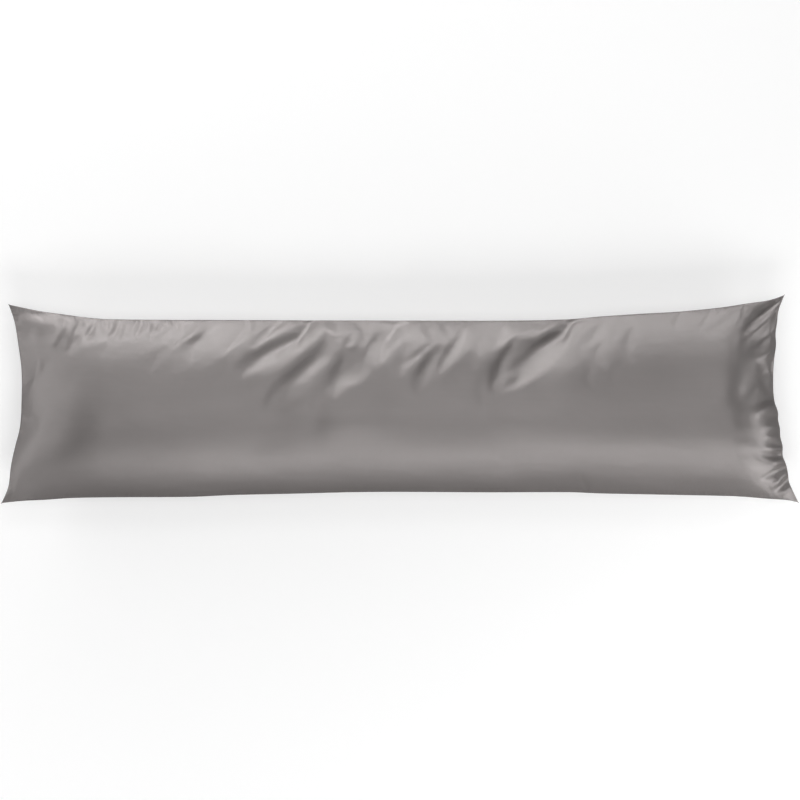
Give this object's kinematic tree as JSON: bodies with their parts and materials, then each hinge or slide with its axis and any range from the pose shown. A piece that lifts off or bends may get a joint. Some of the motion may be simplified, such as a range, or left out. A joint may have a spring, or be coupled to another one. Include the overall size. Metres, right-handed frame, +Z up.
{
  "type": "body pillow",
  "caption": "Long stuffed body pillow with a smooth satin cover, pointed corners, a plain knife-edge seam and soft slanting drag folds, lying flat on its back.",
  "frame": {"origin": "centre of the bounding box's underside, on the surface that the pillow lies on", "axes": "+X along the pillow's length, +Y across it towards the side with the drag folds, +Z up through its thickness, out of the front panel"},
  "size_m": [1.408, 0.37, 0.1728],
  "materials": {
    "cover_satin": "warm grey satin, softly shiny"
  },
  "bodies": {
    "root": {"pillow": "cover_satin"}
  },
  "joints": []
}
